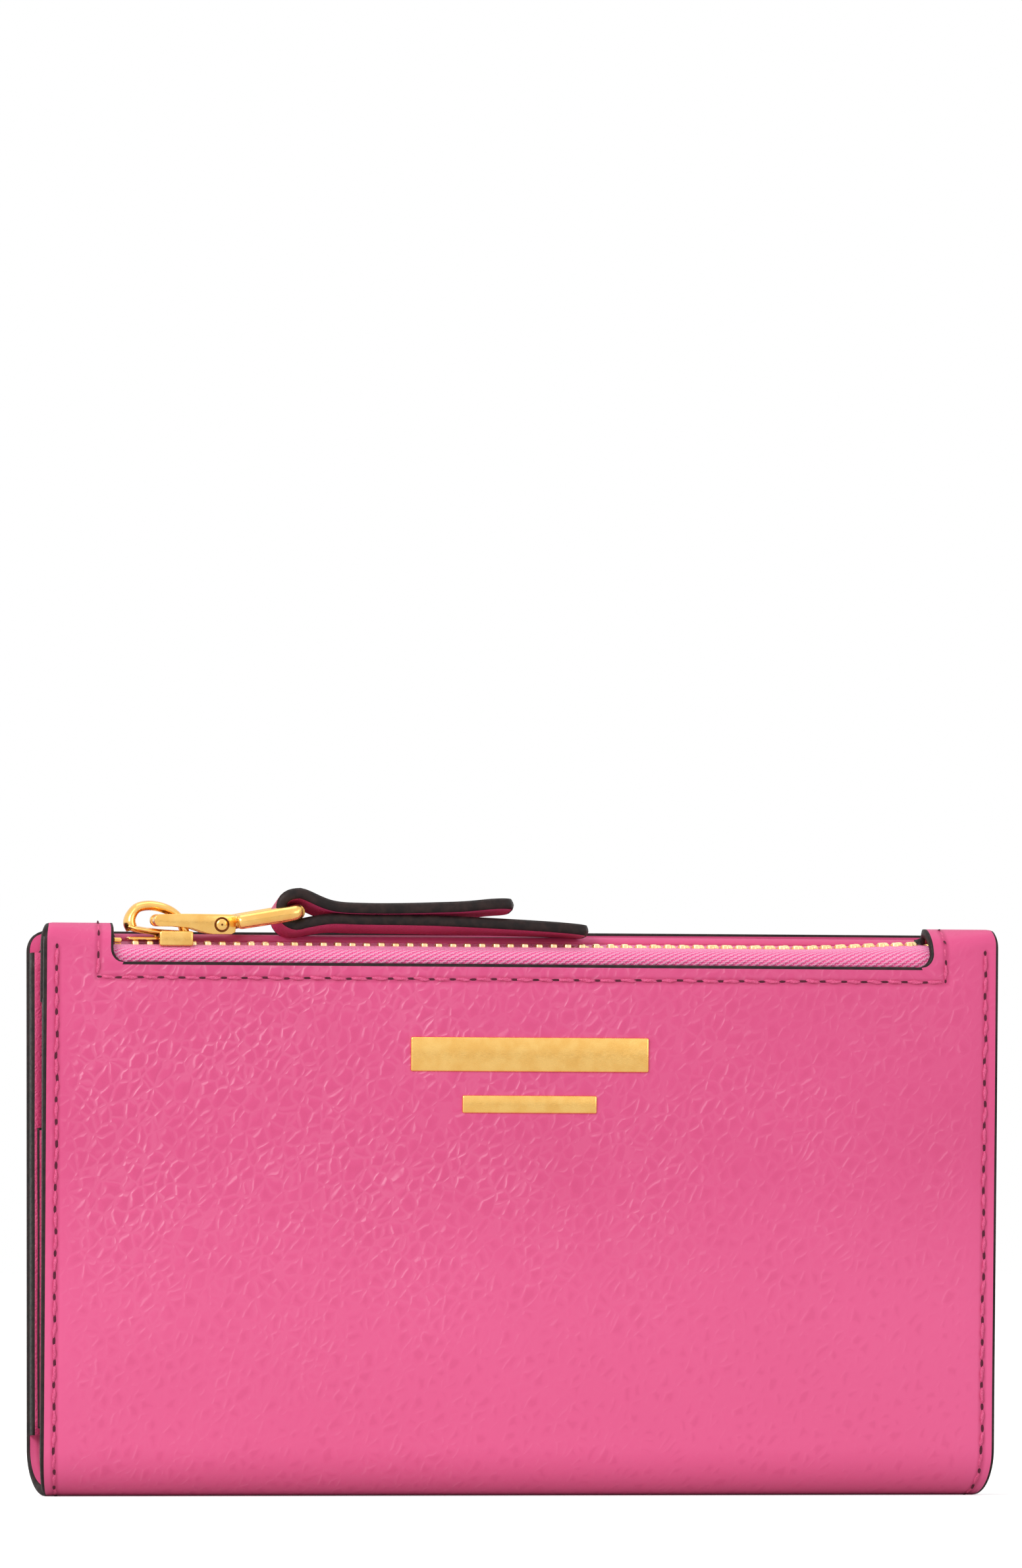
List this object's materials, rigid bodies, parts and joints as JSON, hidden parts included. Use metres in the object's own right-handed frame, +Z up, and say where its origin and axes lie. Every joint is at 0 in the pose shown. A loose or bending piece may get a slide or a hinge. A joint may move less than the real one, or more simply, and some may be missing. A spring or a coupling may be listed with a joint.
{
  "type": "wristlet wallet",
  "caption": "Small folding leather wallet that stands on its fold, with card pockets and a zipped coin pocket across the top of its front half.",
  "frame": {"origin": "on the ground at the middle of the fold the wallet stands on", "axes": "+X along the fold, +Y from the front half to the back half, +Z up towards the open top"},
  "size_m": [0.152, 0.02, 0.0948],
  "materials": {
    "pebbled_leather": "pebble-grained pink leather with near-black painted edges",
    "inner_leather": "fine-grained pink leather",
    "strap_leather": "smooth pink leather with near-black painted edges",
    "lining_cloth": "fine woven pink lining",
    "zipper_tape": "light pink herringbone tape",
    "thread": "waxed pink thread",
    "gilt_metal": "polished pale gold plating"
  },
  "bodies": {
    "back_half": {"back_panel": "pebbled_leather", "back_lining": "lining_cloth", "back_inner_panel": "inner_leather", "back_pocket_1": "inner_leather", "back_pocket_2": "inner_leather", "back_pocket_3": "inner_leather", "back_thread_left": "thread", "back_thread_right": "thread"},
    "spine": {"spine_leather": "pebbled_leather", "spine_lining": "lining_cloth"},
    "front_half": {"front_panel": "pebbled_leather", "front_inner_panel": "inner_leather", "front_pocket_1": "inner_leather", "front_pocket_2": "inner_leather", "front_pocket_3": "inner_leather", "coin_pocket_lining": "lining_cloth", "zipper_tape_front": "zipper_tape", "zipper_tape_rear": "zipper_tape", "zipper_teeth_front": "gilt_metal", "zipper_teeth_rear": "gilt_metal", "zipper_top_stop": "gilt_metal", "zipper_bottom_stop": "gilt_metal", "front_thread_left": "thread", "front_thread_right": "thread", "window_thread": "thread", "emblem_bar_upper": "gilt_metal", "emblem_bar_lower": "gilt_metal"},
    "slider": {"slider_body": "gilt_metal", "slider_bridge": "gilt_metal"},
    "link": {"puller_link": "gilt_metal", "link_rivet": "gilt_metal"},
    "ring": {"pull_ring": "gilt_metal"},
    "strap": {"pull_strap": "strap_leather"}
  },
  "joints": [
    {"name": "spine_fold", "type": "hinge", "parent": "back_half", "child": "spine", "pos_m": [0, 0.00623, 0.00324], "axis": [1, 0, 0], "range_deg": [0, 88.6]},
    {"name": "cover_fold", "type": "hinge", "parent": "spine", "child": "front_half", "pos_m": [0, -0.00623, 0.00324], "axis": [1, 0, 0], "range_deg": [0, 88.6]},
    {"name": "zip_slide", "type": "slide", "parent": "front_half", "child": "slider", "axis": [1, 0, 0], "range_m": [0, 0.097]},
    {"name": "link_flip", "type": "hinge", "parent": "slider", "child": "link", "pos_m": [-0.0577, -0.00541, 0.08964], "axis": [0, -0.9997, -0.0244], "range_deg": [0, 110]},
    {"name": "ring_swivel", "type": "hinge", "parent": "link", "child": "ring", "pos_m": [-0.0479, -0.0054, 0.08924], "axis": [0, -0.9997, -0.0244], "range_deg": [0, 35]},
    {"name": "strap_swing", "type": "hinge", "parent": "ring", "child": "strap", "pos_m": [-0.03603, -0.00545, 0.09129], "axis": [0, -0.9997, -0.0244], "range_deg": [0, 35]}
  ],
  "couplings": [
    {"joint": "cover_fold", "follows": "spine_fold", "ratio": 1}
  ]
}
